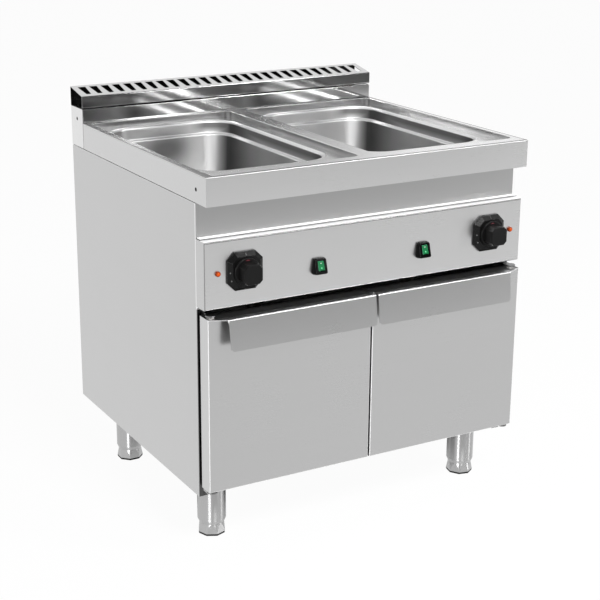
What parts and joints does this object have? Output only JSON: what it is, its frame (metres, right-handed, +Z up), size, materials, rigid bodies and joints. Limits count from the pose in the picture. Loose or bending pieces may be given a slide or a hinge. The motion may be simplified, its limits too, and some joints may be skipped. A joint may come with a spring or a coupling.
{
  "type": "bain-marie",
  "caption": "Stainless electric bain-marie counter with drawn wells, a slotted flue upstand, thermostat knobs, a door cupboard and adjustable feet.",
  "frame": {"origin": "on the floor, under the middle of the overall box", "axes": "+Z up, +X to the right of a person in front of the doors, +Y towards the back"},
  "size_m": [0.8, 0.761, 0.912],
  "materials": {
    "satin_stainless": "satin brushed stainless sheet",
    "polished_stainless": "polished stainless sheet",
    "black_plastic": "black moulded plastic",
    "green_lens": "translucent green plastic",
    "orange_lens": "translucent orange plastic",
    "leg_steel": "bright stainless tube",
    "heater_steel": "dull heat-resisting steel",
    "thermostat_metal": "zinc-plated steel",
    "valve_brass": "plain brass",
    "pipe_steel": "drawn stainless pipe",
    "lever_black": "black coated steel",
    "white_nylon": "white moulded plastic"
  },
  "bodies": {
    "cabinet": {"worktop": "satin_stainless", "rear_panel": "satin_stainless", "bottom_panel": "satin_stainless", "front_rail": "satin_stainless", "control_panel": "satin_stainless", "compartment_roof": "satin_stainless", "left_side_panel": "satin_stainless", "right_side_panel": "satin_stainless", "left_upper_hinge": "satin_stainless", "right_upper_hinge": "satin_stainless", "left_lower_hinge": "satin_stainless", "right_lower_hinge": "satin_stainless", "flue_upstand": "polished_stainless", "flue_grille": "polished_stainless", "left_basin": "polished_stainless", "right_basin": "polished_stainless", "left_knob_bezel": "black_plastic", "right_knob_bezel": "black_plastic", "left_switch_housing": "black_plastic", "right_switch_housing": "black_plastic", "cable_gland": "black_plastic", "left_lamp": "orange_lens", "right_lamp": "orange_lens", "front_left_leg": "leg_steel", "front_right_leg": "leg_steel", "rear_left_leg": "leg_steel", "rear_right_leg": "leg_steel", "left_heater": "heater_steel", "right_heater": "heater_steel", "left_heater_clamps": "heater_steel", "right_heater_clamps": "heater_steel", "left_thermostat": "thermostat_metal", "right_thermostat": "thermostat_metal", "left_drain_valve": "valve_brass", "right_drain_valve": "valve_brass", "left_drain_pipe": "pipe_steel", "right_drain_pipe": "pipe_steel", "left_door_catch": "white_nylon", "right_door_catch": "white_nylon", "terminal_block": "white_nylon"},
    "left_door": {"left_door_skin": "satin_stainless", "left_door_liner": "satin_stainless", "left_door_bushes": "white_nylon"},
    "right_door": {"right_door_skin": "satin_stainless", "right_door_liner": "satin_stainless", "right_door_bushes": "white_nylon"},
    "left_dial": {"left_knob": "black_plastic", "left_spindle": "thermostat_metal"},
    "right_dial": {"right_knob": "black_plastic", "right_spindle": "thermostat_metal"},
    "left_rocker_key": {"left_rocker": "green_lens"},
    "right_rocker_key": {"right_rocker": "green_lens"},
    "left_valve_lever": {"left_drain_lever": "lever_black"},
    "right_valve_lever": {"right_drain_lever": "lever_black"},
    "front_left_foot_screw": {"front_left_foot": "leg_steel"},
    "front_right_foot_screw": {"front_right_foot": "leg_steel"},
    "rear_left_foot_screw": {"rear_left_foot": "leg_steel"},
    "rear_right_foot_screw": {"rear_right_foot": "leg_steel"}
  },
  "joints": [
    {"name": "left_door_hinge", "type": "hinge", "parent": "cabinet", "child": "left_door", "pos_m": [-0.384, -0.3295, 0.343], "axis": [0, 0, -1], "range_deg": [0, 110]},
    {"name": "left_thermostat_turn", "type": "hinge", "parent": "cabinet", "child": "left_dial", "pos_m": [-0.309, -0.3465, 0.629], "axis": [0, 1, 0], "range_deg": [0, 270]},
    {"name": "left_switch_rock", "type": "hinge", "parent": "cabinet", "child": "left_rocker_key", "pos_m": [-0.132, -0.3405, 0.613], "axis": [1, 0, 0], "range_deg": [0, 12]},
    {"name": "left_valve_turn", "type": "hinge", "parent": "cabinet", "child": "left_valve_lever", "pos_m": [-0.202, -0.2108, 0.516], "axis": [0, 1, 0], "range_deg": [0, 90]},
    {"name": "right_door_hinge", "type": "hinge", "parent": "cabinet", "child": "right_door", "pos_m": [0.384, -0.3295, 0.343], "axis": [0, 0, 1], "range_deg": [0, 110]},
    {"name": "right_thermostat_turn", "type": "hinge", "parent": "cabinet", "child": "right_dial", "pos_m": [0.309, -0.3465, 0.629], "axis": [0, 1, 0], "range_deg": [0, 270]},
    {"name": "right_switch_rock", "type": "hinge", "parent": "cabinet", "child": "right_rocker_key", "pos_m": [0.132, -0.3405, 0.613], "axis": [1, 0, 0], "range_deg": [0, 12]},
    {"name": "right_valve_turn", "type": "hinge", "parent": "cabinet", "child": "right_valve_lever", "pos_m": [0.202, -0.2108, 0.516], "axis": [0, -1, 0], "range_deg": [0, 90]},
    {"name": "front_left_foot_height", "type": "slide", "parent": "cabinet", "child": "front_left_foot_screw", "axis": [0, 0, -1], "range_m": [0, 0.045]},
    {"name": "front_right_foot_height", "type": "slide", "parent": "cabinet", "child": "front_right_foot_screw", "axis": [0, 0, -1], "range_m": [0, 0.045]},
    {"name": "rear_left_foot_height", "type": "slide", "parent": "cabinet", "child": "rear_left_foot_screw", "axis": [0, 0, -1], "range_m": [0, 0.045]},
    {"name": "rear_right_foot_height", "type": "slide", "parent": "cabinet", "child": "rear_right_foot_screw", "axis": [0, 0, -1], "range_m": [0, 0.045]}
  ]
}
